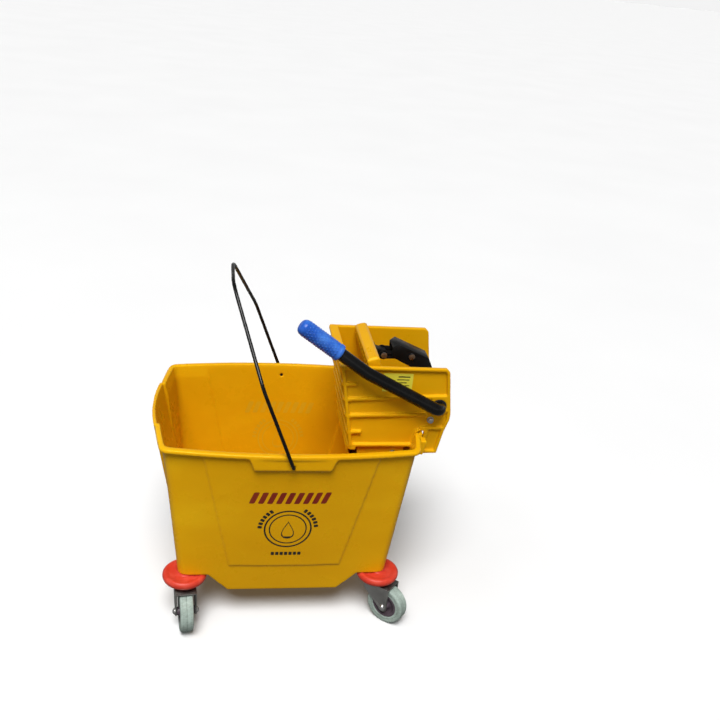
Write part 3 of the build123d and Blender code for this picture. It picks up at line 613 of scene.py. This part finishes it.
def headline_faces(middle_x):
    """A row of plain slanted stripes."""
    middle_z, half_tall = (STRIPE_LOW + STRIPE_HIGH) / 2, (STRIPE_HIGH - STRIPE_LOW) / 2
    faces = []
    for i in range(STRIPES):
        x = middle_x + (i - (STRIPES - 1) / 2) * STRIPE_PITCH
        outline = block_outline(x - STRIPE_WIDE / 2, STRIPE_LOW, x + STRIPE_WIDE / 2, STRIPE_HIGH, 2.5)
        faces.append([(a + (z - middle_z) / half_tall * STRIPE_SLANT, z) for a, z in outline])
    return faces


def emblem_faces(middle_x):
    """A double ring round a drop, with short blocks on both sides and below."""
    faces = ring_faces(middle_x, EMBLEM_Z, 48.0, 44.6) + ring_faces(middle_x, EMBLEM_Z, 38.0, 35.4)
    faces += drop_faces(middle_x, EMBLEM_Z - 2, 24.0, 3.6)
    faces += [turned_block(middle_x, EMBLEM_Z - 20.5, 13.0, 2.6, 0)]
    for start in (128.0, 8.0):
        for step in range(6):
            angle = start + step * 9.4
            x = middle_x + BLOCK_RING * cos(radians(angle))
            z = EMBLEM_Z + BLOCK_RING * sin(radians(angle))
            faces.append(turned_block(x, z, 6.4, 8.6, angle - 90))
    for step in range(7):
        faces.append(turned_block(middle_x - 27 + step * 9, BLOCK_ROW_Z, 6.6, 8.4, 0))
    return faces


def marks(tank_mesh):
    """The same marks outside on the front and the rear, with a faint darker copy inside as painted shade, standing
    in for the print's shadow seen through the wall.
    """
    surface = surface_of(tank_mesh)
    middle_x = JOINTS["bail_swing"]["pos_m"][0] / MM
    headline, emblem = headline_faces(middle_x), emblem_faces(middle_x)
    for side, label in ((-1, "front"), (1, "rear")):
        outside = side * 0.5
        wall_sheet_piece("headline_" + label, headline, surface, outside, -side, "red_ink")
        wall_sheet_piece("emblem_" + label, emblem, surface, outside, -side, "black_ink")
        # Painted shade: the print's shadow through the wall, laid as a darker copy on the inner wall.
        wall_sheet_piece("ghost_" + label, headline + emblem, surface, 0.0, side, "print_shadow")


def label_marks():
    """Plain bars on the sticker, in place of any words."""
    low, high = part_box("side_label")
    work = bmesh.new()
    # each bar: its two ends and its height as shares of the sticker, then how tall it is in millimetres
    rows = [(0.50, 0.90, 0.82, 2.6), (0.46, 0.88, 0.66, 1.8), (0.10, 0.38, 0.30, 9.0)]
    rows += [(0.46, 0.80, 0.50, 1.8), (0.46, 0.90, 0.34, 1.8), (0.46, 0.74, 0.18, 1.8)]
    for from_x, to_x, share, tall in rows:
        x0, x1 = low.x + (high.x - low.x) * from_x, low.x + (high.x - low.x) * to_x
        z = low.z + (high.z - low.z) * share
        outline = block_outline(x0 / MM, z / MM - tall / 2, x1 / MM, z / MM + tall / 2, 0.8)
        work.faces.new([work.verts.new((x * MM, low.y - 0.0001, up * MM)) for x, up in outline])
    mesh = bpy.data.meshes.new("label_bars")
    work.to_mesh(mesh)
    work.free()
    new_piece("label_bars", mesh, "wringer", "label_film", "black_ink", False)


# ---------------------------------------------------------------- stage
FLOOR_HALF = 150.0


def make_stage():
    """A pale floor out to the horizon. It adds no light to the object and isn't mirrored in it."""
    mesh = bpy.data.meshes.new("floor")
    corners = [(x * FLOOR_HALF, y * FLOOR_HALF, 0) for x, y in ((-1, -1), (1, -1), (1, 1), (-1, 1))]
    mesh.from_pydata(corners, [], [(0, 1, 2, 3)])
    floor = bpy.data.objects.new("floor", mesh)
    bpy.context.scene.collection.objects.link(floor)
    s = Shader("studio_floor", 0.75, specular=0.2)
    s.colour(s.ramp(s.noise(1.3, 2.0), [(0.3, grey(0.88)), (0.7, grey(0.90))]))
    mesh.materials.append(s.material)
    floor.visible_diffuse = False
    floor.visible_glossy = False


def area_light(name, place, aim, size, power):
    lamp = bpy.data.lights.new(name, "AREA")
    lamp.shape = "RECTANGLE"
    lamp.size, lamp.size_y = size
    lamp.energy = power
    made = bpy.data.objects.new(name, lamp)
    made.location = place
    made.rotation_euler = (Vector(aim) - Vector(place)).to_track_quat("-Z", "Y").to_euler()
    bpy.context.scene.collection.objects.link(made)


def make_world():
    """Dim surroundings with a pale horizon, so that dark and glossy pieces stay dark."""
    world = bpy.data.worlds.new("studio")
    world.use_nodes = True
    tree = world.node_tree
    split = tree.nodes.new("ShaderNodeSeparateXYZ")
    tree.links.new(tree.nodes.new("ShaderNodeTexCoord").outputs["Generated"], split.inputs["Vector"])
    height = tree.nodes.new("ShaderNodeMapRange")
    height.inputs["From Min"].default_value = -1.0
    tree.links.new(split.outputs["Z"], height.inputs["Value"])
    ramp = tree.nodes.new("ShaderNodeValToRGB")
    # from straight down (0) through the horizon (0.5) to straight up (1), with the brightness there
    bands = [(0.46, 0.18), (0.49, 0.9), (0.515, 0.9), (0.56, 0.30), (0.75, 0.14)]
    elements = ramp.color_ramp.elements
    while len(elements) < len(bands):
        elements.new(0.5)
    for element, (place, level) in zip(elements, bands):
        element.position = place
        element.color = (*grey(level), 1.0)
    tree.links.new(height.outputs["Result"], ramp.inputs["Fac"])
    tree.links.new(ramp.outputs["Color"], tree.nodes["Background"].inputs["Color"])
    bpy.context.scene.world = world


def make_lights():
    """A broad panel overhead and in front, and a narrow lamp for highlights."""
    panel = bpy.data.lights.new("overhead_panel", "SUN")
    panel.energy = 3.4
    panel.angle = radians(30)
    lamp = bpy.data.objects.new("overhead_panel", panel)
    lamp.rotation_euler = (radians(28), radians(-8), 0)
    bpy.context.scene.collection.objects.link(lamp)
    area_light("window", (-1.2, -0.6, 2.6), (0, 0, 0.3), (0.9, 0.25), 7.0)
    bpy.context.scene.view_settings.view_transform = "Standard"


CAMERA_PLACE = Vector((-0.1806, -1.5687, 1.2772))
CAMERA_AZIMUTH, CAMERA_ELEVATION, CAMERA_TILT = radians(-10.86), radians(24.837), radians(6.252)
CAMERA_LENS = 42.434


def make_camera():
    """A little left of the front, looking down, slightly tilted."""
    azimuth, elevation, tilt = CAMERA_AZIMUTH, CAMERA_ELEVATION, CAMERA_TILT
    lens = bpy.data.cameras.new("camera")
    lens.sensor_width = 36.0
    lens.lens = CAMERA_LENS
    lens.clip_start, lens.clip_end = 0.05, 400.0
    camera = bpy.data.objects.new("camera", lens)
    back = Vector((sin(azimuth) * cos(elevation), -cos(azimuth) * cos(elevation), sin(elevation)))
    level_right = back.cross(Vector((0, 0, -1))).normalized()
    level_up = back.cross(level_right)
    right = level_right * cos(tilt) + level_up * sin(tilt)
    up = level_up * cos(tilt) - level_right * sin(tilt)
    turn = Matrix((right, up, back)).transposed()
    camera.matrix_world = Matrix.Translation(CAMERA_PLACE) @ turn.to_4x4()
    bpy.context.scene.collection.objects.link(camera)
    bpy.context.scene.camera = camera


# ---------------------------------------------------------------- CAD nodes that stay
def paint_cad_nodes():
    """Every CAD node gets its slot's material, whether or not a piece stands for it."""
    for name, node in NODES.items():
        node.data.materials.clear()
        node.data.materials.append(MATERIALS[SLOT[name]])


# How wide the broken edges of the small hard nodes are, in millimetres.
SMALL_METAL = {
    "crank": 0.6, "link_arms": 0.4, "press_bracket": 0.5, "clamp_bolts": 0.4, "clamp_nuts": 0.4,
    "pivot_nuts": 0.5, "crank_bolt": 0.4, "crank_pin": 0.5, "link_pin": 0.5, "axle_cap": 1.2,
    "bush_near": 0.4, "bush_far": 0.4, "pivot_rod": 0.5,
}


def build():
    make_stage()
    make_world()
    make_lights()
    make_camera()
    paint_cad_nodes()
    tank_mesh = NODES["bucket_tank"].data
    tank_mesh = moulded("bucket_tank", 1.6 * MM, 12).data
    moulded("wringer_frame", 1.1 * MM, 16)
    moulded("drain_chute", 1.1 * MM, 12)
    moulded("press_plate", 1.1 * MM, 16)
    for corner in CASTERS:
        caster_pieces(corner)
        eased("fork_" + corner, 0.6 * MM)
        eased("swivel_cup_" + corner, 0.5 * MM)
    for node, width in SMALL_METAL.items():
        eased(node, width * MM)
    grip_pieces()
    chute_lip()
    marks(tank_mesh)
    label_marks()


build()
